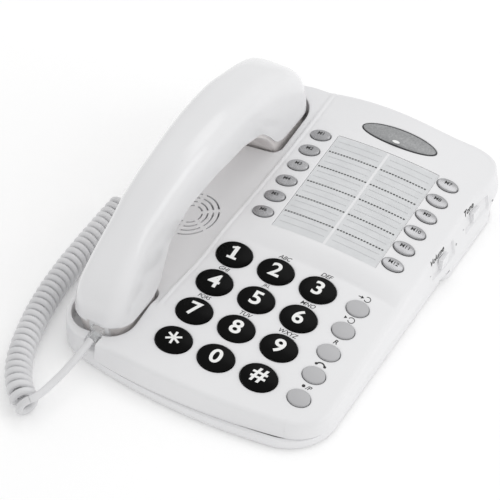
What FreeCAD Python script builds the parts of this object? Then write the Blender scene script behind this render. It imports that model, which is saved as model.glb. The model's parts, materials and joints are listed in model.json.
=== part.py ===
import FreeCAD, Part
import math
import os

Vector = FreeCAD.Vector
doc = FreeCAD.newDocument("desk_phone")

# ---------------------------------------------------------------------------
# Driving dimensions, in millimetres and degrees
# ---------------------------------------------------------------------------
SIZES = {
    # case
    "half_width": 84.5, "wall": 2.5, "seam_z": 6.5, "case_bottom": 1.5, "stand_z": 4.4,
    "front_side_y": -108.0, "front_mid_y": -124.2, "back_side_y": 115.5, "back_mid_y": 120.7,
    "corner_front": 24.0, "corner_back": 26.0, "bow_radius": 350.0, "roof_z": 52.0,
    # number panel: a gently arched plane
    "keypad_x": 11.0, "panel_y": -57.0, "panel_z": 25.7, "panel_slope": 0.1194,
    "panel_crown_x": -18.6, "panel_arch": 900.0,
    # memory panel: a second, more arched plane
    "memory_crown_x": 16.0, "memory_y": 47.5, "memory_z": 37.83, "memory_slope": 0.0628,
    "memory_arch": 300.0,
    # handset channel
    "channel_x": -34.0, "channel_z": 25.4, "channel_slope_y": 0.08, "channel_slope_x": 0.12,
    "mouth_floor": 9.5, "ear_floor": 17.0, "step_y": -10.0, "flank_x": -31.5,
    # keys: half length, half width, height above the panel
    "number_long": 10.75, "number_short": 8.85, "number_proud": 1.8,
    "function_long": 6.6, "function_short": 5.3, "function_proud": 1.5,
    "memory_long": 6.5, "memory_short": 4.2, "memory_proud": 1.2,
    "key_pitch_x": 27.0, "key_pitch_y": 22.5, "function_pitch": 17.0, "memory_pitch": 14.0,
    "key_travel": 1.5, "key_gap": 0.35, "key_flange": 1.2, "key_skirt": 4.1,
    # handset
    "handset_x": -57.5, "handset_wall": 2.2, "mouth_half": 19.5, "ear_half": 23.0,
    # cord
    "coil_diameter": 15.8, "wire_diameter": 4.3,
}


def make_sheet():
    """Spreadsheet with one row per driving dimension."""
    sheet = doc.addObject("Spreadsheet::Sheet", "Sizes")
    for row, (alias, value) in enumerate(SIZES.items(), start=1):
        sheet.set("A%d" % row, alias)
        sheet.set("B%d" % row, str(value))
        sheet.setAlias("B%d" % row, alias)
    doc.recompute()
    return sheet


sheet = make_sheet()
subparts = []


def size(alias):
    """Value of one cell of the sheet."""
    return float(sheet.get(alias))


def keep(item, label):
    """Name a finished sub-part; its label is its file name."""
    item.Label = label
    subparts.append(item)
    return item


def place(item, position, rotation=None):
    item.Placement = FreeCAD.Placement(Vector(*position), rotation or FreeCAD.Rotation())
    return item


def bind(item, **expressions):
    for name, expression in expressions.items():
        item.setExpression(name, expression)
    return item


# ---------------------------------------------------------------------------
# Small builders
# ---------------------------------------------------------------------------
def box(name, length, width, height, corner, rotation=None):
    """Part::Box whose three sizes are expressions over the sheet or plain numbers."""
    item = doc.addObject("Part::Box", name)
    bind(item, Length=str(length), Width=str(width), Height=str(height))
    return place(item, corner, rotation)


def rod(name, radius, height, base, rotation=None):
    """Part::Cylinder standing on its base point, along +Z unless rotated."""
    item = doc.addObject("Part::Cylinder", name)
    bind(item, Radius=str(radius), Height=str(height))
    return place(item, base, rotation)


def cone(name, radius_low, radius_high, height, base, rotation=None):
    item = doc.addObject("Part::Cone", name)
    bind(item, Radius1=str(radius_low), Radius2=str(radius_high), Height=str(height))
    return place(item, base, rotation)


def fuse(name, *items):
    joined = doc.addObject("Part::MultiFuse", name)
    joined.Shapes = list(items)
    return joined


def cut(name, base, tool):
    left = doc.addObject("Part::Cut", name)
    left.Base = base
    left.Tool = tool
    return left


def group(name, *items):
    """Separate identical solids kept as one sub-part."""
    together = doc.addObject("Part::Compound", name)
    together.Links = list(items)
    return together


def oval_prism(name, half_long, half_short, low, high):
    """Elliptical prism along Z from low to high."""
    outline = doc.addObject("Part::Ellipse", name + "_outline")
    bind(outline, MajorRadius=half_long, MinorRadius=half_short)
    prism = doc.addObject("Part::Extrusion", name)
    prism.Base = outline
    prism.DirMode = "Custom"
    prism.Dir = Vector(0, 0, 1)
    prism.Solid = True
    bind(prism, LengthFwd="(%s) - (%s)" % (high, low))
    bind(outline, **{".Placement.Base.z": low})
    return prism


def shaped(name, shape):
    """Part::Feature for the moulded forms that no standard feature makes."""
    item = doc.addObject("Part::Feature", name)
    item.Shape = shape
    return item


# ---------------------------------------------------------------------------
# Geometry helpers
# ---------------------------------------------------------------------------
def rounded_wire(corners, z):
    """Closed wire at height z of straight sides joined by tangent arcs; corners hold x, y, radius."""
    edges = []
    previous_end = None
    first_start = None
    count = len(corners)
    for i in range(count):
        x, y, radius = corners[i]
        here = Vector(x, y, z)
        back = (Vector(corners[i - 1][0], corners[i - 1][1], z) - here).normalize()
        ahead = (Vector(corners[(i + 1) % count][0], corners[(i + 1) % count][1], z) - here).normalize()
        half = back.getAngle(ahead) / 2
        reach = radius / math.tan(half)
        start = here + back * reach
        end = here + ahead * reach
        middle_way = (back + ahead).normalize()
        middle = here + middle_way * (radius / math.sin(half) - radius)
        if previous_end is None:
            first_start = start
        else:
            edges.append(Part.LineSegment(previous_end, start).toShape())
        edges.append(Part.Arc(start, middle, end).toShape())
        previous_end = end
    edges.append(Part.LineSegment(previous_end, first_start).toShape())
    return Part.Wire(edges)


def prism(corners, low, high):
    """Upright prism on a rounded outline."""
    return Part.Face(rounded_wire(corners, low)).extrude(Vector(0, 0, high - low))


def block(x_low, x_high, y_low, y_high, z_low, z_high):
    return Part.makeBox(x_high - x_low, y_high - y_low, z_high - z_low, Vector(x_low, y_low, z_low))


def arch_height(x, y, stem):
    """Height of an arched panel, a long cylinder lying along the panel's slope."""
    tilt = math.atan(size(stem + "_slope"))
    radius = size(stem + "_arch")
    sag = radius - math.sqrt(radius ** 2 - (x - size(stem + "_crown_x")) ** 2)
    return size(stem + "_z") + size(stem + "_slope") * (y - size(stem + "_y")) - sag / math.cos(tilt)


def panel_height(x, y):
    return arch_height(x, y, "panel")


def memory_height(x, y):
    return arch_height(x, y, "memory")


def channel_height(x, y):
    """Height of the sloping floor between the two handset cups."""
    return (size("channel_z") + size("channel_slope_y") * y
            + size("channel_slope_x") * (x - size("handset_x")))


SPAN = 130.0     # half the length and width of the cutting solids, past the case on all sides


def under_panel(stem, drop):
    """Long cylinder whose top is the panel lowered by drop."""
    tilt = math.atan(size(stem + "_slope"))
    radius = size(stem + "_arch") - drop
    along = Vector(0, math.cos(tilt), math.sin(tilt))
    normal = Vector(0, -math.sin(tilt), math.cos(tilt))
    crown = Vector(size(stem + "_crown_x"), size(stem + "_y"), size(stem + "_z"))
    start = crown - normal * size(stem + "_arch") - along * 2 * SPAN
    return Part.makeCylinder(radius, 4 * SPAN, start, along)


def above_floor(x_low, x_high, y_low, y_high, drop):
    """Space above the channel floor lowered by drop."""
    centre = Vector(size("channel_x"), 0, channel_height(size("channel_x"), 0) - drop)
    normal = Vector(-size("channel_slope_x"), -size("channel_slope_y"), 1).normalize()
    space = Part.makeBox(4 * SPAN, 4 * SPAN, SPAN, Vector(-2 * SPAN, -2 * SPAN, 0))
    space.Placement = FreeCAD.Placement(centre, FreeCAD.Rotation(Vector(0, 0, 1), normal))
    return space.common(block(x_low, x_high, y_low, y_high, 0.0, 80.0))


# ---------------------------------------------------------------------------
# Case
# ---------------------------------------------------------------------------
def case_corners(inset):
    """Outline of the case drawn in by inset."""
    half = size("half_width") - inset
    return [(-half, size("front_side_y") + inset, size("corner_front") - inset),
            (0.0, size("front_mid_y") + inset, size("bow_radius")),
            (half, size("front_side_y") - 5.0 + inset, size("corner_front") + 5.0 - inset),
            (half, size("back_side_y") - inset, size("corner_back") - inset),
            (0.0, size("back_mid_y") - inset, size("bow_radius")),
            (-half, size("back_side_y") - inset, size("corner_back") - inset)]


def case_form(inset, foot):
    """Case solid under both panels; inset gives the cavity inside its wall."""
    whole = prism(case_corners(inset), foot, size("roof_z"))
    step_y = size("step_y") + inset
    front = whole.common(under_panel("panel", inset)).common(block(-SPAN, SPAN, -SPAN, step_y, 0.0, 80.0))
    flank_x = size("flank_x") + inset
    rear = whole.common(under_panel("memory", inset)).common(block(flank_x, SPAN, step_y, SPAN, 0.0, 80.0))
    side = whole.common(block(-SPAN, flank_x, step_y, SPAN, 0.0, 80.0))
    side = side.cut(above_floor(-SPAN, SPAN, -SPAN, SPAN, inset))
    return front.fuse([rear, side])


def handset_hollow(grow):
    """Channel and the two cups that the handset lies in; grow gives the wall around them."""
    channel = above_floor(-SPAN, size("channel_x") + grow, -72.0, 90.0, grow)
    side = min(grow, 1.5)
    mouth = [(-79.5 - side, -107.0 - grow, 17.0), (-37.0 + grow, -107.0 - grow, 19.0),
             (-37.0 + grow, -61.0 + grow, 3.0), (-79.5 - side, -61.0 + grow, 3.0)]
    ear = [(-81.0 - side, 55.5 - grow, 6.0), (-30.5 + grow, 55.5 - grow, 6.0),
           (-30.5 + grow, 115.3 + side, 22.0), (-81.0 - side, 115.3 + side, 26.0)]
    mouth_cup = prism(mouth, size("mouth_floor") - grow, 80.0)
    ear_cup = prism(ear, size("ear_floor") - grow, 80.0)
    return channel.fuse([mouth_cup, ear_cup])


def ringer_slots():
    """Concentric slots of the ringer, broken by six bridges, through the channel floor."""
    centre_x, centre_y = size("handset_x"), -2.0
    rings = []
    for i in range(4):
        radius = 6.9 + 3.3 * i
        outer = Part.makeCylinder(radius + 0.5, 30.0, Vector(centre_x, centre_y, 10.0))
        rings.append(outer.cut(Part.makeCylinder(radius - 0.5, 30.0, Vector(centre_x, centre_y, 10.0))))
    slots = rings[0].fuse(rings[1:])
    for i in range(3):
        bridge = block(-20.0, 20.0, -1.0, 1.0, 5.0, 45.0)
        bridge.rotate(Vector(0, 0, 0), Vector(0, 0, 1), 30.0 + 60.0 * i)
        bridge.translate(Vector(centre_x, centre_y, 0))
        slots = slots.cut(bridge)
    return slots


def surface_placement(x, y, height):
    """Placement at a point of a panel, with local Z along the panel's outward normal."""
    step = 0.5
    slope_x = (height(x + step, y) - height(x - step, y)) / (2 * step)
    slope_y = (height(x, y + step) - height(x, y - step)) / (2 * step)
    normal = Vector(-slope_x, -slope_y, 1).normalize()
    along = Vector(1, 0, slope_x).normalize()
    across = normal.cross(along)
    return FreeCAD.Placement(Vector(x, y, height(x, y)), FreeCAD.Rotation(along, across, normal, "ZXY"))


# Every key: label, point on the panel, height function of that panel, name stem of its sizes
keys = []
NUMBER_NAMES = [["key_1", "key_2", "key_3"], ["key_4", "key_5", "key_6"],
                ["key_7", "key_8", "key_9"], ["key_star", "key_0", "key_hash"]]
for row_index, row_names in enumerate(NUMBER_NAMES):
    for column_index, key_name in enumerate(row_names):
        keys.append((key_name, size("keypad_x") + (column_index - 1) * size("key_pitch_x"),
                     size("panel_y") + (1.5 - row_index) * size("key_pitch_y"), panel_height, "number"))
FUNCTION_NAMES = ["key_transfer", "key_redial", "key_recall", "key_headset", "key_pause"]
for i, key_name in enumerate(FUNCTION_NAMES):
    keys.append((key_name, 63.3, -57.4 + (2 - i) * size("function_pitch"), panel_height, "function"))
for i in range(12):
    column_x = -17.5 if i < 6 else 66.9
    key_y = size("memory_y") + (2.5 - i % 6) * size("memory_pitch")
    keys.append(("memory_key_%d" % (i + 1), column_x, key_y, memory_height, "memory"))


def key_holes():
    """Clearance holes for all keys, along each key's own travel."""
    holes = []
    for _, x, y, height, stem in keys:
        long_half = size(stem + "_long") + size("key_gap")
        short_half = size(stem + "_short") + size("key_gap")
        oval = Part.Ellipse(Vector(0, 0, 0), long_half, short_half).toShape()
        hole = Part.Face(Part.Wire(oval)).extrude(Vector(0, 0, 24))
        hole.translate(Vector(0, 0, -12))
        hole.Placement = surface_placement(x, y, height).multiply(hole.Placement)
        holes.append(hole)
    return holes


CARD = (-7.5, 59.5, 4.5, 87.0)          # x and y limits of the index window
LENS = (26.0, 100.7, 24.3, 6.9)         # centre and half sizes of the lamp lens
SLIDERS = (("volume", 43.0, 17.5), ("tone", 84.0, 20.5))   # name, y and z of each side slider
JACK_Y, JACK_Z = 24.0, 13.5             # handset cord socket in the left wall
LINE_X, LINE_Z = 40.0, 16.0             # line socket in the back wall
PLUNGER_Y = 90.0


def panel_pocket(outline, drop):
    """Pocket in the memory panel, its floor drop below the surface."""
    return prism(outline, 0.0, 90.0).cut(under_panel("memory", drop))


def card_outline(inset):
    x_low, x_high, y_low, y_high = CARD
    return [(x_low + inset, y_low + inset, 3.0), (x_high - inset, y_low + inset, 3.0),
            (x_high - inset, y_high - inset, 3.0), (x_low + inset, y_high - inset, 3.0)]


def lens_column(grow):
    x, y, half_x, half_y = LENS
    oval = Part.Ellipse(Vector(x, y, 0), half_x + grow, half_y + grow).toShape()
    return Part.Face(Part.Wire(oval)).extrude(Vector(0, 0, 90))


def make_upper_case():
    foot = size("seam_z")
    outer = case_form(0.0, foot).cut(handset_hollow(0.0))
    cavity = case_form(size("wall"), foot - 2.0).cut(handset_hollow(size("wall")))
    shell = outer.cut(cavity).cut(ringer_slots())
    shell = shell.cut(Part.makeCompound(key_holes()))
    shell = shell.cut(panel_pocket(card_outline(0.0), 1.6))
    shell = shell.cut(lens_column(0.25).cut(under_panel("memory", 1.6)))
    openings = []
    for _, y, z in SLIDERS:
        openings.append(block(77.0, 90.0, y - 11.0, y + 11.0, z - 1.8, z + 1.8))
        openings.append(block(83.0, 90.0, y - 13.0, y + 13.0, z - 5.0, z + 5.0))
    openings.append(block(-90.0, -78.0, JACK_Y - 6.6, JACK_Y + 6.6, JACK_Z - 5.4, JACK_Z + 5.4))
    openings.append(block(LINE_X - 6.6, LINE_X + 6.6, 100.0, 130.0, LINE_Z - 5.4, LINE_Z + 5.4))
    openings.append(block(size("handset_x") - 3.4, size("handset_x") + 3.4, -125.0, -100.0, 11.0, 60.0))
    openings.append(Part.makeCylinder(3.4, 20.0, Vector(size("handset_x"), PLUNGER_Y, 5.0)))
    return shell.cut(Part.makeCompound(openings))


keep(shaped("upper_case", make_upper_case()), "upper_case")


# ---------------------------------------------------------------------------
# Lower case, stand, feet and screws
# ---------------------------------------------------------------------------
CASE_SCREWS = ((-60.0, -80.0), (60.0, -80.0), (-60.0, 25.0), (60.0, 25.0))
STAND_FRONT, STAND_BACK = 41.0, 118.0


def make_lower_case():
    bottom, seam = size("case_bottom"), size("seam_z")
    tray = prism(case_corners(0.4), bottom, seam)
    tray = tray.cut(block(-90, 90, STAND_FRONT - 1.0, 125, 0, size("stand_z")))
    hollow = prism(case_corners(2.9), bottom + 2.0, seam + 1.0)
    front_hollow = hollow.common(block(-90, 90, -125, STAND_FRONT - 3.5, 0, 20))
    rear_hollow = hollow.common(block(-90, 90, STAND_FRONT - 3.6, 125, size("stand_z") + 1.6, 20))
    tray = tray.cut(front_hollow).cut(rear_hollow)
    for x, y in CASE_SCREWS:
        tray = tray.fuse(Part.makeCylinder(4.2, seam - bottom - 2.2, Vector(x, y, bottom + 1.8)))
        tray = tray.cut(Part.makeCylinder(1.6, 10.0, Vector(x, y, 0)))
        tray = tray.cut(Part.makeCylinder(3.2, 2.0, Vector(x, y, bottom - 0.1)))
    return tray


keep(shaped("lower_case", make_lower_case()), "lower_case")


def make_stand():
    """Desk stand: a plate under the rear with a low flange along each side."""
    stand_half = 86.5
    outline = [(-stand_half, STAND_FRONT, 8.0), (stand_half, STAND_FRONT, 8.0),
               (stand_half, STAND_BACK - 3.0, 14.0), (-stand_half, STAND_BACK - 3.0, 14.0)]
    plate = prism(outline, 1.0, size("stand_z") - 0.1)
    plate = plate.cut(prism([(-60, 50, 6), (60, 50, 6), (60, 106, 6), (-60, 106, 6)], 0.0, 2.6))
    for side in (-1, 1):
        x_low = min(side * 84.8, side * stand_half)
        flange = block(x_low, x_low + 1.7, STAND_FRONT + 8.0, STAND_BACK - 17.0, 1.0, 7.0)
        plate = plate.fuse(flange)
    return plate


keep(shaped("desk_stand", make_stand()), "desk_stand")

feet = [rod("front_foot_%d" % i, 6.0, "Sizes.case_bottom", (x, -88.0, 0))
        for i, x in enumerate((-62.0, 62.0))]
feet += [rod("rear_foot_%d" % i, 5.5, 1.0, (x, 100.0, 0)) for i, x in enumerate((-72.0, 72.0))]
keep(group("feet_group", *feet), "rubber_feet")


def screw(name, x, y, z, head_radius, shank_radius, head, length):
    """Pan-head screw standing on its head."""
    return fuse(name, rod(name + "_head", head_radius, head, (x, y, z)),
                rod(name + "_shank", shank_radius, length, (x, y, z)))


keep(group("case_screw_group", *[screw("case_screw_%d" % i, x, y, 1.6, 3.1, 1.5, 1.7, 4.6)
                                 for i, (x, y) in enumerate(CASE_SCREWS)]), "case_screws")

# ---------------------------------------------------------------------------
# Card, cover, lens, boards and mats
# ---------------------------------------------------------------------------
def memory_layer(outline, low_drop, high_drop):
    """Thin layer following the memory panel."""
    column = prism(outline, 0.0, 90.0)
    return column.cut(under_panel("memory", low_drop)).common(under_panel("memory", high_drop))


keep(shaped("card", memory_layer(card_outline(0.3), 1.55, 1.2)), "index_card")
keep(shaped("cover", memory_layer(card_outline(0.2), 1.15, 0.0)), "index_cover")
keep(shaped("lens", lens_column(0.0).cut(under_panel("memory", 1.55)).common(under_panel("memory", -0.7))),
     "lamp_lens")


def sloped_plate(name, stem, x_low, x_high, y_low, y_high, drop, thickness):
    """Flat board parallel to a panel's crown line, its top drop below it."""
    tilt = math.degrees(math.atan(size(stem + "_slope")))
    turn = FreeCAD.Rotation(Vector(1, 0, 0), tilt)
    z = size(stem + "_z") + size(stem + "_slope") * (y_low - size(stem + "_y")) - drop - thickness
    return box(name, x_high - x_low, (y_high - y_low) / math.cos(math.radians(tilt)), thickness,
               (x_low, y_low, z), turn)


keep(group("board_group", sloped_plate("number_board", "panel", -27.0, 74.0, -98.0, -14.0, 12.9, 1.6),
           sloped_plate("memory_board", "memory", -26.0, 71.0, 2.0, 106.0, 14.2, 1.6)), "circuit_boards")


def mat(stem, x_low, x_high, y_low, y_high):
    """Rubber sheet under a set of keys, following their panel."""
    sheet_block = block(x_low, x_high, y_low, y_high, 0.0, 80.0)
    return sheet_block.common(under_panel(stem, 6.3)).cut(under_panel(stem, 7.3))


keep(shaped("mats", Part.makeCompound([mat("panel", -28.0, 74.0, -102.0, -13.0),
                                       mat("memory", -25.0, -10.0, 3.0, 92.0),
                                       mat("memory", 59.0, 74.0, 3.0, 92.0)])), "key_mats")

led_z = memory_height(LENS[0], LENS[1]) - 13.0
keep(rod("led", 2.5, 8.5, (LENS[0], LENS[1], led_z)), "lamp_led")

# ---------------------------------------------------------------------------
# Keys
# ---------------------------------------------------------------------------
def make_key(name, stem, placement):
    """Oval key cap with a retaining flange under the case wall and a rounded top edge."""
    long_half, short_half = "Sizes.%s_long" % stem, "Sizes.%s_short" % stem
    flange = oval_prism(name + "_flange", long_half + " + Sizes.key_flange", short_half + " + Sizes.key_flange",
                        "-Sizes.key_skirt", "-Sizes.key_skirt + 1.2")
    cap = oval_prism(name + "_cap", long_half, short_half, "-Sizes.key_skirt", "Sizes.%s_proud" % stem)
    solid = fuse(name + "_solid", cap, flange)
    doc.recompute()
    top = max(range(len(solid.Shape.Edges)), key=lambda i: solid.Shape.Edges[i].BoundBox.ZMin)
    rounded = doc.addObject("Part::Fillet", name + "_rounded")
    rounded.Base = solid
    rounded.Edges = [(top + 1, 1.1, 1.1)]
    rounded.Placement = placement
    return rounded


for key_name, key_x, key_y, height_function, key_stem in keys:
    key_object = make_key(key_name, key_stem, surface_placement(key_x, key_y, height_function))
    keep(key_object, key_name)

# ---------------------------------------------------------------------------
# Ringer, sockets, hook switch and side sliders
# ---------------------------------------------------------------------------
ringer_at = (size("handset_x"), -2.0)
keep(fuse("ringer", rod("ringer_magnet", 9.0, 4.0, (*ringer_at, 6.4)),
          cone("ringer_cone", 9.0, 17.0, 5.3, (*ringer_at, 10.4)),
          rod("ringer_rim", 17.0, 1.8, (*ringer_at, 15.7))), "ringer_speaker")

keep(cut("line_socket", box("line_block", 12.8, 14.0, 10.4, (LINE_X - 6.4, 103.5, LINE_Z - 5.2)),
         box("line_cavity", 9.8, 12.0, 6.8, (LINE_X - 4.9, 106.0, LINE_Z - 3.4))), "line_jack")
keep(cut("cord_socket", box("cord_block", 14.0, 12.8, 10.4, (-84.3, JACK_Y - 6.4, JACK_Z - 5.2)),
         box("cord_cavity", 12.0, 7.8, 6.6, (-85.0, JACK_Y - 3.9, JACK_Z - 3.3))), "cord_jack")

keep(rod("plunger", 3.0, 10.0, (size("handset_x"), PLUNGER_Y, 9.8)), "hook_plunger")
keep(box("hook_switch_block", 11.0, 10.0, 3.5, (size("handset_x") - 5.5, PLUNGER_Y - 5.0, 6.1)), "hook_switch")

controls = []
for slider_name, slider_y, slider_z in SLIDERS:
    controls.append(box(slider_name + "_pot", 6.0, 26.0, 8.0, (72.8, slider_y - 13.0, slider_z - 4.0)))
    knob = fuse(slider_name + "_slider",
                box(slider_name + "_neck", 4.5, 4.0, 2.6, (79.0, slider_y - 2.0, slider_z - 1.3)),
                box(slider_name + "_grip", 2.6, 8.0, 7.0, (83.2, slider_y - 4.0, slider_z - 3.5)))
    keep(knob, slider_name + "_knob")
keep(group("control_group", *controls), "slide_controls")

# ---------------------------------------------------------------------------
# Handset
# ---------------------------------------------------------------------------
# Side outline as y, z points: every pair of spans is an arc through its middle point
CROWN = [(-104.5, 18.0), (-98.5, 40.0), (-76.0, 61.0), (-40.0, 76.5), (10.0, 84.0), (63.0, 81.5),
         (96.0, 66.0), (109.5, 50.0), (113.5, 32.0)]
GRIP = [(60.0, 34.0), (52.0, 51.5), (32.0, 57.5), (0.0, 57.0), (-30.0, 54.0), (-52.0, 45.0), (-66.0, 30.0)]
EAR_BOTTOM, MOUTH_BOTTOM = 20.0, 12.0


def handset_side(inset):
    """Face in the YZ plane of the handset's side outline, drawn in by inset."""
    outline = CROWN + [(113.5, EAR_BOTTOM), (60.0, EAR_BOTTOM)] + GRIP + [(-66.0, MOUTH_BOTTOM),
                                                                          (-104.5, MOUTH_BOTTOM)]
    count = len(outline)
    moved = []
    for i, (y, z) in enumerate(outline):
        before = Vector(0, y - outline[i - 1][0], z - outline[i - 1][1]).normalize()
        after = Vector(0, outline[(i + 1) % count][0] - y, outline[(i + 1) % count][1] - z).normalize()
        inward = (Vector(0, before.z, -before.y) + Vector(0, after.z, -after.y)).normalize()
        stretch = max(0.5, inward.dot(Vector(0, after.z, -after.y)))
        moved.append(Vector(0, y, z) + inward * (inset / stretch))
    edges = []
    arc_starts = [0, 2, 4, 6, 11, 13, 15]
    i = 0
    while i < count:
        if i in arc_starts:
            edges.append(Part.Arc(moved[i], moved[i + 1], moved[i + 2]).toShape())
            i += 2
        else:
            edges.append(Part.LineSegment(moved[i], moved[(i + 1) % count]).toShape())
            i += 1
    return Part.Face(Part.Wire(edges))


def handset_form(inset):
    """Solid handset: its side outline swept across, trimmed by its plan outline."""
    swept = handset_side(inset)
    swept.translate(Vector(-100.0, 0, 0))
    swept = swept.extrude(Vector(90.0, 0, 0))
    centre = size("handset_x")
    left, right = centre - size("mouth_half") + inset, centre + size("mouth_half") - inset
    ear_left, ear_right = centre + 1.0 - size("ear_half") + inset, centre + 1.0 + size("ear_half") - inset
    plan = [(left, -104.5 + inset, 17.0 - inset), (right, -104.5 + inset, 17.0 - inset),
            (right - 0.5, 42.0, 60.0), (ear_right, 70.0, 30.0),
            (ear_right, 113.5 - inset, 20.0 - inset), (ear_left, 113.5 - inset, 23.0 - inset)]
    return swept.common(prism(plan, 0.0, 100.0))


def front_region():
    """Space below the parting line, where the ear and mouth side shell lies."""
    line = [(-130, 0), (-130, 25), (-63, 25), (-49, 51), (-30, 60), (0, 63), (33, 63.5), (50, 57), (58, 40),
            (62, 36), (130, 36), (130, 0), (-130, 0)]
    face = Part.Face(Part.makePolygon([Vector(-100, y, z) for y, z in line]))
    return face.extrude(Vector(90, 0, 0))


HANDSET_SCREWS = ((size("handset_x"), -70.8, MOUTH_BOTTOM), (size("handset_x") + 1.0, 107.0, EAR_BOTTOM))


def handset_cuts():
    x = size("handset_x")
    tools = [block(x - 6.4, x + 6.4, -110.0, -88.5, 13.4, 23.9)]
    for screw_x, screw_y, screw_z in HANDSET_SCREWS:
        tools.append(Part.makeCylinder(1.6, 12.0, Vector(screw_x, screw_y, screw_z - 1.0)))
        tools.append(Part.makeCylinder(2.8, 1.7, Vector(screw_x, screw_y, screw_z - 0.5)))
    return Part.makeCompound(tools)


handset_wall_form = handset_form(0.0).cut(handset_form(size("handset_wall"))).cut(handset_cuts())
keep(shaped("back_shell", handset_wall_form.cut(front_region())), "handset_back_shell")
keep(shaped("front_shell", handset_wall_form.common(front_region())), "handset_front_shell")

socket_x = size("handset_x")
keep(cut("handset_socket", box("handset_socket_block", 12.6, 13.0, 10.2, (socket_x - 6.3, -102.0, 13.6)),
         box("handset_socket_cavity", 7.8, 11.0, 6.6, (socket_x - 3.9, -103.0, 15.2))), "handset_jack")
keep(rod("microphone", 7.5, 5.5, (socket_x, -80.8, 14.3)), "microphone_capsule")
keep(fuse("receiver", rod("receiver_can", 15.0, 6.0, (socket_x + 1.0, 86.0, 22.3)),
          rod("receiver_magnet", 8.0, 5.0, (socket_x + 1.0, 86.0, 28.3))), "receiver_capsule")
keep(box("weight", 14.0, 46.0, 7.0, (socket_x - 7.0, -18.0, 65.0)), "handset_weight")
keep(group("handset_screw_group", *[screw("handset_screw_%d" % i, x, y, z + 0.4, 2.6, 1.4, 0.8, 8.0)
                                    for i, (x, y, z) in enumerate(HANDSET_SCREWS)]), "handset_screws")

# ---------------------------------------------------------------------------
# Handset cord
# ---------------------------------------------------------------------------
turn_to_y = FreeCAD.Rotation(Vector(1, 0, 0), 90)
turn_to_x = FreeCAD.Rotation(Vector(0, 1, 0), -90)
keep(fuse("handset_plug_solid", box("handset_plug_body", 7.2, 11.0, 6.0, (socket_x - 3.6, -104.8, 15.5)),
          rod("handset_plug_boot", 2.9, 5.2, (socket_x, -104.8, 18.5), turn_to_y)), "handset_plug")
keep(fuse("base_plug_solid", box("base_plug_body", 11.0, 7.2, 6.0, (-85.0, JACK_Y - 3.6, JACK_Z - 3.0)),
          rod("base_plug_boot", 2.9, 6.0, (-85.0, JACK_Y, JACK_Z), turn_to_x)), "base_plug")

COIL_Z = 8.2
BASE_TAIL = [(-91.0, JACK_Y, JACK_Z), (-101.5, JACK_Y - 3.0, 13.0), (-106.0, JACK_Y - 13.5, 10.0),
             (-106.0, 0.0, COIL_Z)]
COIL = [(-106.0, 0.0, COIL_Z), (-106.5, -45.0, COIL_Z), (-103.0, -90.0, COIL_Z), (-93.0, -128.0, COIL_Z),
        (-83.5, -146.0, COIL_Z), (-73.5, -157.0, COIL_Z), (-65.0, -161.0, COIL_Z)]
HANDSET_TAIL = [(-62.7, -162.0, 12.6), (-58.8, -152.5, 13.2), (-57.2, -135.0, 14.8), (socket_x, -110.6, 18.4)]


def tube(name, points, diameter):
    """Round tube on straight runs joined by arcs as large as the runs allow."""
    spots = [Vector(*point) for point in points]
    edges = []
    last = spots[0]
    length = 0.0
    for i in range(1, len(spots) - 1):
        back = spots[i - 1] - spots[i]
        ahead = spots[i + 1] - spots[i]
        half_turn = (math.pi - back.getAngle(ahead)) / 2
        reach = 0.45 * min(back.Length, ahead.Length)
        radius = reach / math.tan(half_turn)
        back.normalize()
        ahead.normalize()
        start = spots[i] + back * reach
        end = spots[i] + ahead * reach
        middle = spots[i] + (back + ahead).normalize() * (radius / math.cos(half_turn) - radius)
        edges.append(Part.LineSegment(last, start).toShape())
        edges.append(Part.Arc(start, middle, end).toShape())
        length += (start - last).Length + 2 * radius * half_turn
        print("%s point %d: radius %.1f" % (name, i, radius))
        last = end
    edges.append(Part.LineSegment(last, spots[-1]).toShape())
    length += (spots[-1] - last).Length
    section = Part.Wire(Part.makeCircle(diameter / 2, spots[0], (spots[1] - spots[0]).normalize()))
    solid = Part.Wire(edges).makePipeShell([section], True, False)
    expected = math.pi * diameter ** 2 / 4 * length
    print("%s: length %.1f, volume %.0f, section x length %.0f" % (name, length, solid.Volume, expected))
    return solid


for cord_label, cord_points, cord_diameter in (("base_tail", BASE_TAIL, size("wire_diameter")),
                                               ("curly_cord", COIL, size("coil_diameter")),
                                               ("handset_tail", HANDSET_TAIL, size("wire_diameter"))):
    keep(shaped(cord_label + "_tube", tube(cord_label, cord_points, cord_diameter)), cord_label)

# ---------------------------------------------------------------------------
# Check and write
# ---------------------------------------------------------------------------
doc.recompute()
for item in doc.Objects:
    if "Invalid" in item.State or "Error" in item.State:
        raise RuntimeError("%s failed: %s" % (item.Name, item.State))
labels = [item.Label for item in subparts]
if len(set(labels)) != len(labels):
    raise RuntimeError("two sub-parts share a label")
for item in subparts:
    if item.Shape.isNull() or not item.Shape.isValid() or not item.Shape.Solids:
        raise RuntimeError("%s has no valid solid" % item.Label)
os.makedirs("parts", exist_ok=True)
for item in subparts:
    item.Shape.exportStep("parts/%s.step" % item.Label)
print("%d sub-parts written" % len(subparts))
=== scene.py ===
import json
import math
import bpy
import bmesh
import numpy as np
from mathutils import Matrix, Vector
from mathutils.geometry import delaunay_2d_cdt


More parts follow.
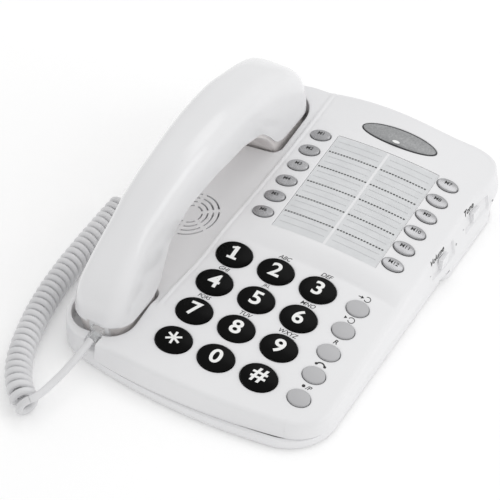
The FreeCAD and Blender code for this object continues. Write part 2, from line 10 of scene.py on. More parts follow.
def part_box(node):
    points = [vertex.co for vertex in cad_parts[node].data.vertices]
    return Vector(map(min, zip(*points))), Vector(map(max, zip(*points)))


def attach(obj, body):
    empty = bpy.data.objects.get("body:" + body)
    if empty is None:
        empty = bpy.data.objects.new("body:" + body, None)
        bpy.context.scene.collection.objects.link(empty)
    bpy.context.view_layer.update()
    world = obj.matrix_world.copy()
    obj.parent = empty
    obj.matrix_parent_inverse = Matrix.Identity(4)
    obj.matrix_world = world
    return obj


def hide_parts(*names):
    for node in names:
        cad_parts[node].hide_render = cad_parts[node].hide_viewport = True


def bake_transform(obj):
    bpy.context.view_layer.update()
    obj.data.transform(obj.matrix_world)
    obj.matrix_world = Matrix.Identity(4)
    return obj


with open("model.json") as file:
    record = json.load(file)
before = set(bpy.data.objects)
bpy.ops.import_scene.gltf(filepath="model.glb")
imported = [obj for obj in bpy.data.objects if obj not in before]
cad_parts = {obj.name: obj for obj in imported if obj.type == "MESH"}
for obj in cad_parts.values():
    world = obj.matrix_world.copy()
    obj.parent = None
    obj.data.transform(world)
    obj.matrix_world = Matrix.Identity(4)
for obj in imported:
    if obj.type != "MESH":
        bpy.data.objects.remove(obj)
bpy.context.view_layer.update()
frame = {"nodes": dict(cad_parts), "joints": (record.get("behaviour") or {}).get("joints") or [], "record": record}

# Shapes are worked out in millimetres and the cord in metres; x to the right, y to the back, z up.
MM = 0.001
JOINTS = {joint["child"]: joint for joint in frame["joints"]}


# --- Camera ---
def make_camera():
    """Camera in front, to the right of and above the telephone."""
    azimuth, elevation, distance = math.radians(29.517), math.radians(44.464), 1.27973
    target = Vector((-0.01249, -0.01115, 0.0252))
    back = Vector((math.sin(azimuth) * math.cos(elevation),
                   -math.cos(azimuth) * math.cos(elevation), math.sin(elevation)))
    data = bpy.data.cameras.new("camera")
    data.sensor_width = 36.0
    data.lens = 161.07
    camera = bpy.data.objects.new("camera", data)
    bpy.context.scene.collection.objects.link(camera)
    camera.location = target + back * distance
    camera.rotation_mode = "QUATERNION"
    camera.rotation_quaternion = (-back).to_track_quat("-Z", "Y")
    bpy.context.scene.camera = camera


make_camera()


# --- Materials ---
def node(tree, kind, **values):
    """Adds a shader node; values are its properties or its inputs by name."""
    made = tree.nodes.new(kind)
    for name, value in values.items():
        if hasattr(made, name):
            setattr(made, name, value)
        else:
            made.inputs[name.replace("_", " ")].default_value = value
    return made


def material(name, dark, light, roughness=(0.3, 0.4), grain=900.0, bump=0.02, blotch=18.0, **shader):
    """Moulded surface: colour drifts between dark and light, fine grain drives roughness and bump.

    Grain and blotch are noise scales per metre; shader gives values of the shader's own sockets.
    """
    made = bpy.data.materials.new(name)
    made.use_nodes = True
    tree = made.node_tree
    principled = tree.nodes["Principled BSDF"]
    for socket, value in shader.items():
        principled.inputs[socket.replace("_", " ")].default_value = value
    place = node(tree, "ShaderNodeTexCoord")
    drift = node(tree, "ShaderNodeTexNoise", Scale=blotch, Detail=3.0)
    tree.links.new(place.outputs["Object"], drift.inputs["Vector"])
    ramp = node(tree, "ShaderNodeValToRGB")
    ramp.color_ramp.elements[0].position = 0.3
    ramp.color_ramp.elements[0].color = (*dark, 1.0)
    ramp.color_ramp.elements[1].position = 0.7
    ramp.color_ramp.elements[1].color = (*light, 1.0)
    tree.links.new(drift.outputs["Fac"], ramp.inputs["Fac"])
    tree.links.new(ramp.outputs["Color"], principled.inputs["Base Color"])
    fine = node(tree, "ShaderNodeTexNoise", Scale=grain, Detail=2.0)
    tree.links.new(place.outputs["Object"], fine.inputs["Vector"])
    spread = node(tree, "ShaderNodeMapRange")
    spread.inputs["To Min"].default_value = roughness[0]
    spread.inputs["To Max"].default_value = roughness[1]
    tree.links.new(fine.outputs["Fac"], spread.inputs["Value"])
    tree.links.new(spread.outputs["Result"], principled.inputs["Roughness"])
    relief = node(tree, "ShaderNodeBump", Strength=bump, Distance=0.0002)
    tree.links.new(fine.outputs["Fac"], relief.inputs["Height"])
    tree.links.new(relief.outputs["Normal"], principled.inputs["Normal"])
    return made


CASE = material("case_white", (0.80, 0.80, 0.81), (0.83, 0.83, 0.84), (0.28, 0.38), 1500.0, 0.05,
                Specular_IOR_Level=0.45)
HANDSET = material("handset_white", (0.79, 0.79, 0.80), (0.82, 0.82, 0.83), (0.16, 0.22), 1500.0, 0.02,
                   Specular_IOR_Level=0.5, Coat_Weight=0.3, Coat_Roughness=0.12)
# Inner shell: the handset white made a little darker and warmer. This is painted shade for the shadow and pinkish
# bounce light in the recess under the handset.
INNER_PAINTED_SHADE = material("inner_shell_painted_shade", (0.79, 0.755, 0.745), (0.82, 0.79, 0.78), (0.25, 0.35), 1500.0, 0.03)
BLACK = material("key_black", (0.002, 0.002, 0.002), (0.004, 0.004, 0.004), (0.14, 0.22), 1800.0, 0.03,
                 Specular_IOR_Level=0.06)
GREY = material("key_grey", (0.44, 0.44, 0.45), (0.49, 0.49, 0.50), (0.35, 0.45), 1500.0, 0.06)
SILVER = material("key_silver", (0.36, 0.36, 0.37), (0.46, 0.46, 0.47), (0.22, 0.32), 3000.0, 0.08, 60.0,
                  Metallic=0.75)
INK = material("print_black", (0.01, 0.01, 0.01), (0.02, 0.02, 0.02), (0.5, 0.6), 2500.0, 0.02)
INK_GREY = material("print_grey", (0.28, 0.28, 0.29), (0.34, 0.34, 0.35), (0.5, 0.6), 2500.0, 0.02)
WHITE_INK = material("print_white", (0.86, 0.86, 0.85), (0.92, 0.92, 0.91), (0.4, 0.5), 2500.0, 0.02)
PAPER = material("card_paper", (0.67, 0.68, 0.69), (0.72, 0.73, 0.74), (0.7, 0.85), 2200.0, 0.15, 120.0)
LENS_GREY = material("lens_grey", (0.24, 0.245, 0.25), (0.36, 0.365, 0.37), (0.25, 0.4), 1400.0, 0.5, 900.0,
                     Coat_Weight=0.4, Coat_Roughness=0.15)
CORD = material("cord_grey", (0.66, 0.66, 0.67), (0.74, 0.74, 0.75), (0.35, 0.45), 1200.0, 0.05, 40.0)
RUBBER = material("rubber_black", (0.02, 0.02, 0.02), (0.04, 0.04, 0.04), (0.6, 0.8), 1500.0, 0.2)
MAT = material("mat_rubber", (0.4, 0.4, 0.41), (0.5, 0.5, 0.51), (0.5, 0.7), 1500.0, 0.1)
STEEL = material("steel", (0.5, 0.5, 0.52), (0.65, 0.65, 0.67), (0.25, 0.4), 2000.0, 0.1, 200.0, Metallic=1.0)
BOARD = material("board_green", (0.03, 0.16, 0.07), (0.05, 0.24, 0.10), (0.3, 0.4), 900.0, 0.05, 90.0)
DARK = material("part_black", (0.03, 0.03, 0.035), (0.05, 0.05, 0.055), (0.4, 0.5), 1500.0, 0.1)
METAL = material("capsule_metal", (0.45, 0.45, 0.47), (0.6, 0.6, 0.62), (0.3, 0.4), 2000.0, 0.08, 150.0,
                 Metallic=0.9)
CLEAR = material("clear_plastic", (0.9, 0.92, 0.93), (0.94, 0.95, 0.96), (0.05, 0.09), 600.0, 0.01,
                 Alpha=0.3, IOR=1.49)
COVER = material("clear_cover", (0.9, 0.91, 0.92), (0.94, 0.95, 0.96), (0.08, 0.14), 600.0, 0.01,
                 Alpha=0.06, IOR=1.3)

SLOT_MATERIALS = {"case_white": CASE, "handset_white": HANDSET, "key_black": BLACK, "key_grey": GREY,
                  "key_silver": SILVER, "card_paper": PAPER, "clear_plastic": CLEAR, "lens_grey": LENS_GREY,
                  "cord_grey": CORD, "rubber_black": RUBBER, "mat_rubber": MAT, "steel": STEEL,
                  "board_green": BOARD, "part_black": DARK, "capsule_metal": METAL}
NODE_SLOTS = {row["node"]: row["material_slot"] for row in frame["record"]["subparts"]}
for name, cad_object in frame["nodes"].items():
    cad_object.data.materials.clear()
    cad_object.data.materials.append(SLOT_MATERIALS[NODE_SLOTS[name]])
frame["nodes"]["handset_jack"].data.materials[0] = HANDSET


# --- Surfaces, in millimetres ---
HANDSET_X = -57.5
SIDE_X = 84.5
NOTCH_FRONT_Y = -104.0
NOTCH_FLOOR_Z = 11.0
OUTLINE_STEP = 1.2
CASE_CORNERS = [(-SIDE_X, -108.0, 24.0), (0.0, -124.2, 350.0), (SIDE_X, -108.0, 24.0),
                (SIDE_X, 115.5, 26.0), (0.0, 120.7, 350.0), (-SIDE_X, 115.5, 26.0)]
# Height of a panel's crown line at the origin, its slope to the back, and the radius across it.
PANEL = dict(crown=-18.6, arch=900.0, height=25.7, slope=0.1194, origin=-57.0)
MEMORY = dict(crown=16.0, arch=300.0, height=37.83, slope=0.0628, origin=47.5)


def smooth(t):
    """Eased step from 0 at t = 0 to 1 at t = 1."""
    t = np.clip(t, 0.0, 1.0)
    return t * t * (3 - 2 * t)


def arched(x, y, panel):
    """Height of a panel that slopes up to the back and is arched across."""
    tilt = math.atan(panel["slope"])
    sag = panel["arch"] - np.sqrt(panel["arch"] ** 2 - (x - panel["crown"]) ** 2)
    return panel["height"] + panel["slope"] * (y - panel["origin"]) - sag / math.cos(tilt)


def channel_floor(x, y):
    """Height of the handset channel."""
    return 25.4 + 0.08 * y + 0.12 * (x - HANDSET_X)


def channel_edge(y):
    """Right-hand edge of the handset channel, which leans a little to the right towards the back."""
    return -34.6 - 4.0 * smooth((-28.0 - y) / 45.0) + 4.2 * smooth((y + 60.0) / 160.0)


def box_distance(x, y, centre_x, centre_y, half_x, half_y, radius):
    """Signed distance to a rounded box, negative inside."""
    qx = np.abs(x - centre_x) - half_x + radius
    qy = np.abs(y - centre_y) - half_y + radius
    outside = np.hypot(np.maximum(qx, 0), np.maximum(qy, 0))
    return outside + np.minimum(np.maximum(qx, qy), 0) - radius


def top_height(x, y):
    """Height of the case top: number panel, raised memory panel, and the handset channel on the left."""
    x, y = np.asarray(x, float), np.asarray(y, float)
    island = box_distance(x + 12.0 * smooth((y - 5.0) / 40.0), y, 73.0, 110.0, 108.0, 113.0, 20.0)
    rise = np.clip((7.0 - island) / 14.0, 0, 1)
    rise = 0.45 * smooth(rise) + 0.55 * (1 - (1 - rise) ** 2)
    right = arched(x, y, PANEL) * (1 - rise) + arched(x, y, MEMORY) * rise
    crease = y + 9.0 + 3.0 * (x - 46.0) / 35.0
    right = right - 0.3 * np.exp(-(crease / 0.9) ** 2) * smooth((x - 38.0) / 18.0)
    floor = channel_floor(x, y)
    front = smooth((y + 76.0) / 10.0)
    floor = arched(x, y, PANEL) * (1 - front) + floor * front
    side = (x - channel_edge(y)) / 2.4
    bead = 0.35 * np.exp(-((x - channel_edge(y) - 4.2) / 0.9) ** 2) * front
    top = floor * (1 - smooth(side)) + (right - bead) * smooth(side)
    notch = smooth((4.0 - np.abs(x - HANDSET_X)) / 0.8) * (y < NOTCH_FRONT_Y)
    return top * (1 - notch) + NOTCH_FLOOR_Z * notch


def rounded_loop(corners, spacing):
    """Points along straight sides joined by tangent arcs, anticlockwise; corners hold x, y, radius."""
    points = []
    count = len(corners)
    for i, (x, y, radius) in enumerate(corners):
        here = np.array([x, y])
        back = np.array(corners[i - 1][:2]) - here
        ahead = np.array(corners[(i + 1) % count][:2]) - here
        back, ahead = back / np.linalg.norm(back), ahead / np.linalg.norm(ahead)
        half = math.acos(np.clip(back @ ahead, -1, 1)) / 2
        centre = here + (back + ahead) / np.linalg.norm(back + ahead) * radius / math.sin(half)
        start, end = here + back * radius / math.tan(half), here + ahead * radius / math.tan(half)
        steps = max(4, int(radius * (math.pi - 2 * half) / spacing))
        a = math.atan2(*(start - centre)[::-1])
        turn = math.atan2(*(end - centre)[::-1]) - a
        turn = (turn + math.pi) % (2 * math.pi) - math.pi
        for k in range(steps + 1):
            angle = a + turn * k / steps
            points.append(centre + radius * np.array([math.cos(angle), math.sin(angle)]))
    loop = []
    for i, point in enumerate(points):
        following = points[(i + 1) % len(points)]
        gap = np.linalg.norm(following - point)
        pieces = max(1, int(round(gap / spacing)))
        for k in range(pieces):
            if gap > 1e-6:
                loop.append(point + (following - point) * k / pieces)
    return np.array(loop)


def oval_loop(centre_x, centre_y, half_x, half_y, count):
    """Points round an ellipse, anticlockwise."""
    angle = np.linspace(0, 2 * math.pi, count, endpoint=False)
    return np.stack([centre_x + half_x * np.cos(angle), centre_y + half_y * np.sin(angle)], 1)


def inward(loop, distance):
    """Loop moved inwards by distance along its own normals; the loop runs anticlockwise."""
    along = np.roll(loop, -1, 0) - np.roll(loop, 1, 0)
    along /= np.linalg.norm(along, axis=1)[:, None]
    return loop + np.stack([-along[:, 1], along[:, 0]], 1) * np.broadcast_to(distance, len(loop))[:, None]


def denser(loop, near, times):
    """Loop with extra points on the sides that start where near(x, y) holds."""
    refined = []
    for point, following in zip(loop, np.roll(loop, -1, 0)):
        pieces = times if near(*point) else 1
        refined += [point + (following - point) * k / pieces for k in range(pieces)]
    return np.array(refined)


# --- Mesh helpers ---
class Sheet:
    """Collects points and faces of one piece, in millimetres."""

    def __init__(self):
        self.points = []
        self.faces = []
        self.slots = []

    def add(self, points, faces, slot=0):
        """Adds faces that count from the first of their own points."""
        start = sum(len(block) for block in self.points)
        self.points.append(np.asarray(points, float))
        self.faces += [[start + i for i in face] for face in faces]
        self.slots += [slot] * len(faces)

    def rings(self, rings, slot=0, closed=True):
        """Quads between successive loops of equal count."""
        count = len(rings[0])
        faces = []
        for k in range(len(rings) - 1):
            for i in range(count if closed else count - 1):
                j = (i + 1) % count
                faces.append([k * count + i, k * count + j, (k + 1) * count + j, (k + 1) * count + i])
        self.add(np.concatenate(rings), faces, slot)

    def fan(self, ring, tip, slot=0):
        """Triangles from a loop to one point."""
        count = len(ring)
        self.add(np.vstack([ring, [tip]]), [[i, (i + 1) % count, count] for i in range(count)], slot)

    def build(self, name, materials, smooth_angle=40.0):
        """Object of all the faces, in metres, sharp where they meet at more than the angle."""
        mesh = bpy.data.meshes.new(name)
        points = np.concatenate(self.points) * MM
        mesh.from_pydata([tuple(p) for p in points], [], self.faces)
        for polygon, slot in zip(mesh.polygons, self.slots):
            polygon.material_index = slot
        for item in materials:
            mesh.materials.append(item)
        work = bmesh.new()
        work.from_mesh(mesh)
        bmesh.ops.remove_doubles(work, verts=work.verts, dist=2e-6)
        bmesh.ops.recalc_face_normals(work, faces=work.faces)
        work.to_mesh(mesh)
        work.free()
        mesh.polygons.foreach_set("use_smooth", [True] * len(mesh.polygons))
        mesh.set_sharp_from_angle(angle=math.radians(smooth_angle))
        made = bpy.data.objects.new(name, mesh)
        bpy.context.scene.collection.objects.link(made)
        return made


def lift(loop, z):
    """2-D loop to 3-D points; z is a number or one value per point."""
    return np.column_stack([loop, np.broadcast_to(z, len(loop))])


SLIVER_AREA = 0.001


def fill(outer, holes, spots):
    """Triangles over the area inside outer and outside every hole, with extra points at spots."""
    loops = [outer] + holes
    coordinates, edges = [], []
    for loop in loops:
        start = len(coordinates)
        coordinates += [Vector(p) for p in loop]
        edges += [(start + i, start + (i + 1) % len(loop)) for i in range(len(loop))]
    coordinates += [Vector(p) for p in spots]
    points, _, faces, _, _, _ = delaunay_2d_cdt(coordinates, edges, [], 0, 1e-6, False)
    points = np.array([p[:] for p in points])
    faces = [face[:] for face in faces]
    centres = np.array([points[list(face)].mean(0) for face in faces])
    corners = points[np.array(faces)]
    first, second = corners[:, 1] - corners[:, 0], corners[:, 2] - corners[:, 0]
    area = np.abs(first[:, 0] * second[:, 1] - first[:, 1] * second[:, 0]) / 2
    keep = inside(centres, outer) & (area > SLIVER_AREA)
    for hole in holes:
        keep &= ~inside(centres, hole)
    return points, [face for face, kept in zip(faces, keep) if kept]


def inside(points, loop):
    """Which points lie inside a closed loop."""
    found = np.zeros(len(points), bool)
    low, high = loop.min(0), loop.max(0)
    near = np.where(np.all((points > low) & (points < high), axis=1))[0]
    if len(near) == 0:
        return found
    x, y = points[near, 0], points[near, 1]
    odd = np.zeros(len(near), bool)
    for (x0, y0), (x1, y1) in zip(loop, np.roll(loop, -1, 0)):
        if y0 == y1:
            continue
        crosses = ((y0 > y) != (y1 > y)) & (x < (x1 - x0) * (y - y0) / (y1 - y0) + x0)
        odd ^= crosses
    found[near] = odd
    return found


# --- Cord: base tail, curly part and handset tail on one route ---
BASE_TAIL = [(-0.091, 0.024, 0.0135), (-0.1015, 0.021, 0.013), (-0.106, 0.0105, 0.010), (-0.106, 0.0, 0.0082)]
COIL = [(-0.106, 0.0, 0.0082), (-0.1065, -0.045, 0.0082), (-0.103, -0.090, 0.0082), (-0.093, -0.128, 0.0082),
        (-0.0835, -0.146, 0.0082), (-0.0735, -0.157, 0.0082), (-0.065, -0.161, 0.0082)]
HANDSET_TAIL = [(-0.0627, -0.162, 0.0126), (-0.0614, -0.148, 0.0136), (-0.0587, -0.130, 0.0150),
                (-0.0575, -0.1106, 0.0184)]
WIRE = 0.0043
TURN_RADIUS = 0.00575
PITCH = 0.0049
LAST_TURNS_PITCH = 0.0075
LEAD = 0.004
STEP = 0.0003


def followed(points):
    """Points along a smooth curve through the route, from its first point to its last."""
    curve = bpy.data.curves.new("route", "CURVE")
    curve.dimensions = "3D"
    curve.resolution_u = 24
    spline = curve.splines.new("NURBS")
    spline.points.add(len(points) - 1)
    for control, point in zip(spline.points, points):
        control.co = (*point, 1.0)
    spline.order_u = 3
    spline.use_endpoint_u = True
    source = bpy.data.objects.new("route", curve)
    bpy.context.scene.collection.objects.link(source)
    bpy.context.view_layer.update()
    mesh = bpy.data.meshes.new_from_object(source.evaluated_get(bpy.context.evaluated_depsgraph_get()))
    line = np.array([vertex.co[:] for vertex in mesh.vertices])
    bpy.data.objects.remove(source)
    bpy.data.curves.remove(curve)
    bpy.data.meshes.remove(mesh)
    return line


def travelled(line):
    """Distance from the first point to each point."""
    return np.concatenate([[0.0], np.cumsum(np.linalg.norm(np.diff(line, axis=0), axis=1))])


def curly_line():
    """Centreline of the base tail with the curly part, and centreline of the straight handset tail.

    Both tails run into the helix along the wire's own direction there, so their points beside the
    coil come from the helix instead of from its axis.
    """
    line = followed(COIL)
    s = np.arange(0.0, travelled(line)[-1], STEP)
    centre = np.stack([np.interp(s, travelled(line), line[:, k]) for k in range(3)], 1)
    along = np.gradient(centre, axis=0)
    along /= np.linalg.norm(along, axis=1)[:, None]
    up = np.array([0.0, 0.0, 1.0]) - along * along[:, 2:3]
    up /= np.linalg.norm(up, axis=1)[:, None]
    side = np.cross(along, up)
    pitch = PITCH + (LAST_TURNS_PITCH - PITCH) * smooth((s - s[-1] + 0.018) / 0.014)
    turns = np.cumsum(STEP / pitch)
    turns *= (round(turns[-1] + 0.25) - 0.25) / turns[-1]
    phase = 2 * math.pi * (turns - turns[-1])
    wire = centre + TURN_RADIUS * (np.cos(phase)[:, None] * up - np.sin(phase)[:, None] * side)
    arrive = (wire[1] - wire[0]) / np.linalg.norm(wire[1] - wire[0])
    leave = (wire[-1] - wire[-2]) / np.linalg.norm(wire[-1] - wire[-2])
    base_part = followed([*BASE_TAIL[:2], wire[0] - arrive * LEAD, wire[0]])
    tail_part = followed([wire[-1], wire[-1] + leave * LEAD, *HANDSET_TAIL[1:]])
    return np.concatenate([base_part[:-1], wire]), tail_part


def wire_piece(name, path):
    """Round wire along the path with closed ends."""
    along = np.gradient(path, axis=0)
    along /= np.linalg.norm(along, axis=1)[:, None]
    normal = np.cross(along[0], [0.0, 0.0, 1.0])
    rings = []
    for point, direction in zip(path, along):
        normal = normal - direction * (normal @ direction)
        normal /= np.linalg.norm(normal)
        other = np.cross(direction, normal)
        angle = np.linspace(0, 2 * math.pi, 12, endpoint=False)[:, None]
        rings.append((point + (np.cos(angle) * normal + np.sin(angle) * other) * WIRE / 2) / MM)
    sheet = Sheet()
    sheet.rings(rings)
    sheet.fan(rings[0], path[0] / MM)
    sheet.fan(rings[-1], path[-1] / MM)
    return sheet.build(name, [CORD])


def spaced(path, gap):
    """Path with points about a gap apart, both ends kept."""
    run = travelled(path)
    s = np.linspace(0, run[-1], max(8, int(run[-1] / gap)))
    return np.stack([np.interp(s, run, path[:, k]) for k in range(3)], 1)


coil_line, tail_line = curly_line()
coil_path = spaced(coil_line, 0.0019)
tail_path = spaced(tail_line, 0.0012)
coil = wire_piece("curly_cord_wire", coil_path)
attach(coil, "base")
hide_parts("curly_cord", "base_tail")
tail = wire_piece("handset_tail_wire", tail_path)
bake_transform(tail)
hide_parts("handset_tail")


# --- Printed marks ---
LONGEST_GLYPH_EDGE = 0.11


def glyphs(text, height, bold=0.0, shear=0.0):
    """Flat outline of a short text, centred, in triangles small enough to bend: points and faces."""
    curve = bpy.data.curves.new("glyphs", "FONT")
    curve.body = text
    curve.offset = bold
    curve.shear = shear
    curve.resolution_u = 5
    source = bpy.data.objects.new("glyphs", curve)
    bpy.context.scene.collection.objects.link(source)
    bpy.context.view_layer.update()
    mesh = bpy.data.meshes.new_from_object(source.evaluated_get(bpy.context.evaluated_depsgraph_get()))
    work = bmesh.new()
    work.from_mesh(mesh)
    for _ in range(4):
        bmesh.ops.triangulate(work, faces=work.faces)
        long_edges = [edge for edge in work.edges if edge.calc_length() > LONGEST_GLYPH_EDGE]
        bmesh.ops.subdivide_edges(work, edges=long_edges, cuts=1)
    bmesh.ops.triangulate(work, faces=work.faces)
    work.to_mesh(mesh)
    work.free()
    points = np.array([vertex.co[:2] for vertex in mesh.vertices])
    faces = [list(polygon.vertices) for polygon in mesh.polygons]
    bpy.data.objects.remove(source)
    bpy.data.curves.remove(curve)
    bpy.data.meshes.remove(mesh)
    low, high = points.min(0), points.max(0)
    return (points - (low + high) / 2) * height / (high[1] - low[1]), faces


def stroke(points, width):
    """Flat ribbon along a line of points."""
    points = np.asarray(points, float)
    along = np.gradient(points, axis=0)
    along /= np.linalg.norm(along, axis=1)[:, None]
    offset = np.stack([-along[:, 1], along[:, 0]], 1) * width / 2
    count = len(points)
    return (np.concatenate([points + offset, points - offset]),
            [[i, i + 1, count + i + 1, count + i] for i in range(count - 1)])


def arc(centre_x, centre_y, radius, start, end, count=14):
    """Points along part of a circle, from one angle to another in degrees."""
    angle = np.radians(np.linspace(start, end, count))
    return np.stack([centre_x + radius * np.cos(angle), centre_y + radius * np.sin(angle)], 1)


def disc(centre_x, centre_y, radius_x, radius_y, count=20):
    """Flat ellipse."""
    loop = oval_loop(centre_x, centre_y, radius_x, radius_y, count)
    return loop, [list(range(count))]


def print_on_top(sheet, shape, x, y, slot=0, above=0.05):
    """Puts a flat shape on the case top."""
    points, faces = shape
    spots = points + np.array([x, y])
    sheet.add(lift(spots, top_height(spots[:, 0], spots[:, 1]) + above), faces, slot)


# --- Keys ---
def key_frame(name):
    """Point on the panel under a key's middle, with the key's own x, y and z directions."""
    low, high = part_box(name)
    normal = -np.array(JOINTS[name]["axis"], float)
    normal /= np.linalg.norm(normal)
    centre = np.array((low + high) / 2) / MM
    for _ in range(3):
        centre = centre + normal * (float(top_height(centre[0], centre[1])) - centre[2]) / normal[2]
    along = np.array([1.0, 0.0, -normal[0] / normal[2]])
    along /= np.linalg.norm(along)
    return centre, along, np.cross(normal, along), normal


def key_loop(name, half_x, half_y, count):
    """Oval round a key, on the plan of the case."""
    centre, along, across, _ = key_frame(name)
    loop = oval_loop(0, 0, half_x, half_y, count)
    return (centre + loop[:, :1] * along + loop[:, 1:] * across)[:, :2]


def make_key(name, size, label, body, ink):
    """Oval key cap with a rounded edge, a crowned top and a label that follows the crown."""
    half_x, half_y, proud, crown, fillet = size
    centre, along, across, normal = key_frame(name)

    def placed(points):
        return centre + points[:, :1] * along + points[:, 1:2] * across + points[:, 2:] * normal

    def ring(shrink, scale, height):
        loop = oval_loop(0, 0, (half_x - shrink) * scale, (half_y - shrink) * scale, 64)
        return placed(lift(loop, height))

    sheet = Sheet()
    rings = [ring(0, 1, -3.0), ring(0, 1, -0.5), ring(0, 1, proud - crown - fillet)]
    for angle in np.radians([22.5, 45, 67.5, 90]):
        rings.append(ring(fillet * (1 - math.cos(angle)), 1, proud - crown - fillet * (1 - math.sin(angle))))
    for scale in (0.92, 0.78, 0.6, 0.4, 0.2):
        rings.append(ring(fillet, scale, proud - crown * scale ** 2))
    sheet.rings(rings)
    sheet.fan(rings[-1], placed(np.array([[0.0, 0.0, proud]]))[0])
    if label:
        points, faces = label
        r2 = (points[:, 0] / (half_x - fillet)) ** 2 + (points[:, 1] / (half_y - fillet)) ** 2
        sheet.add(placed(lift(points, proud - crown * r2 + 0.05)), faces, 1)
    made = sheet.build(name + "_cap", [body, ink])
    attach(made, name)
    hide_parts(name)


NUMBER_KEYS = {"key_1": ("1", None), "key_2": ("2", "ABC"), "key_3": ("3", "DEF"), "key_4": ("4", "GHI"),
               "key_5": ("5", "JKL"), "key_6": ("6", "MNO"), "key_7": ("7", "PQRS"), "key_8": ("8", "TUV"),
               "key_9": ("9", "WXYZ"), "key_star": ("*", None), "key_0": ("0", None), "key_hash": ("#", None)}
FUNCTION_KEYS = ["key_transfer", "key_redial", "key_recall", "key_headset", "key_pause"]
MEMORY_KEYS = ["memory_key_%d" % (i + 1) for i in range(12)]
# Half width, half depth, height above the panel, crown and edge radius.
NUMBER_SIZE = (10.75, 8.85, 1.8, 0.45, 0.75)
FUNCTION_SIZE = (6.6, 5.3, 1.5, 0.35, 0.6)
MEMORY_SIZE = (6.5, 4.2, 1.2, 0.3, 0.55)
DIGIT_HEIGHT = 9.6
DIGIT_WIDENING = np.array([1.12, 1.0])
DIGIT_SHIFT = np.array([0.0, 0.5])
MEMORY_LABEL_SHIFT = np.array([0.0, 0.9])


def joined(*shapes):
    """Several flat shapes as one."""
    points, faces = [], []
    for shape_points, shape_faces in shapes:
        faces += [[i + sum(len(block) for block in points) for i in face] for face in shape_faces]
        points.append(shape_points)
    return np.concatenate(points), faces


ONE = joined(stroke([(0.1, y) for y in np.linspace(-4.8, 4.8, 8)], 2.1),
             stroke([(-2.5, 2.9), (-1.2, 3.5), (0.2, 4.3)], 1.5),
             stroke([(x, -4.1) for x in (-2.6, 0.0, 2.8)], 1.5))
STAR = joined(*[stroke([(r * math.cos(a), r * math.sin(a)) for r in np.linspace(-4.3, 4.3, 8)], 1.3)
                for a in np.radians([30, 90, 150])])
DRAWN = {"1": ONE, "*": STAR}

for name, (digit, _) in NUMBER_KEYS.items():
    points, faces = DRAWN[digit] if digit in DRAWN else glyphs(digit, DIGIT_HEIGHT, 0.022)
    label = points * DIGIT_WIDENING + DIGIT_SHIFT, faces
    make_key(name, NUMBER_SIZE, label, BLACK, WHITE_INK)
for name in FUNCTION_KEYS:
    make_key(name, FUNCTION_SIZE, None, GREY, INK)
for i, name in enumerate(MEMORY_KEYS):
    points, faces = glyphs("M%d" % (i + 1), 2.6, 0.012)
    make_key(name, MEMORY_SIZE, (points + MEMORY_LABEL_SHIFT, faces), SILVER, INK)


# --- Case ---
# Low and high x of the index card, then low and high y; middle and half sizes of the lens.
CARD = (-7.5, 59.5, 4.5, 87.0)
LENS = (26.0, 100.7, 24.3, 6.9)
LENS_GAP = 0.3
SHALLOW_WELL = 1.5
SEAM_Z = 6.5
SEAM_GROOVE = (0.35, 0.4)
LEFT_LEAN = 0.5
RIGHT_LEAN = 1.4
FRONT_LEAN = 1.1
LEFT_FILLET = 1.5
RIGHT_FILLET = 3.4
SLIDER_SLOT = dict(half_length=13.4, half_height=5.4, depth=1.5, edge=0.8)
SLIDERS = [tuple(np.array((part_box(name)[0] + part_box(name)[1]) / 2) / MM)
           for name in ("volume_knob", "tone_knob")]
LINE_JACK_LOW, LINE_JACK_HIGH = [np.array(corner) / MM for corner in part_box("line_jack")]
MOUTH_CUP = [(-81.0, -105.0, 16.0), (-40.8, -105.0, 15.0), (-40.8, -61.0, 6.0), (-81.0, -61.0, 3.0)]
MOUTH_FLOOR = 9.5
EAR_CUP = [(-80.9, 61.0, 6.0), (-34.0, 61.0, 6.0), (-34.0, 114.2, 20.0), (-80.9, 114.0, 25.0)]
EAR_FLOOR = 17.0
CUP_RIM = 0.7
KEY_GAP = 0.35
KEY_RIM = 0.45
KEY_WELL = 2.5
RINGER_Y = -2.0
RINGER_RADII = (6.9, 10.2, 13.5, 16.8)
RINGER_BRIDGE = 1.1
RINGER_SLOT_HALF = 0.5
FOOT_FLARE = 2.6
BACK_WIDENING = 2.2
BACK_DEEPENING = 4.2
CORNER_BULGE = dict(x=77.0, y=111.0, reach=15.0, height=6.8)
GRID = 1.25


def ringer_slots():
    """Curved sound slots under the handset, four rings of six."""
    slots = []
    for radius in RINGER_RADII:
        bridge = math.degrees(RINGER_BRIDGE / radius)
        for k in range(6):
            start, end = 30 + 60 * k + bridge, 90 + 60 * k - bridge
            outer = arc(HANDSET_X, RINGER_Y, radius + RINGER_SLOT_HALF, start, end, 10)
            inner = arc(HANDSET_X, RINGER_Y, radius - RINGER_SLOT_HALF, end, start, 10)
            slots.append(np.concatenate([outer, inner]))
    return slots


def hole(sheet, loop, fillet, depth=None, floor=None, direction=(0.0, 0.0, 1.0)):
    """Lines a hole with a rounded rim and a wall; returns the loop where it meets the top."""
    direction = np.array(direction)
    rim = inward(loop, -fillet)
    rings = [lift(rim, top_height(rim[:, 0], rim[:, 1]))]
    for angle in np.radians([30, 60, 90]):
        edge = inward(loop, -fillet * (1 - math.sin(angle)))
        base = lift(edge, top_height(edge[:, 0], edge[:, 1]))
        rings.append(base - direction * fillet * (1 - math.cos(angle)))
    if floor is None:
        rings.append(rings[-1] - direction * depth)
    else:
        rings.append(lift(loop, floor))
        sheet.fan(rings[-1], (*loop.mean(0), floor))
    sheet.rings(rings)
    return rim


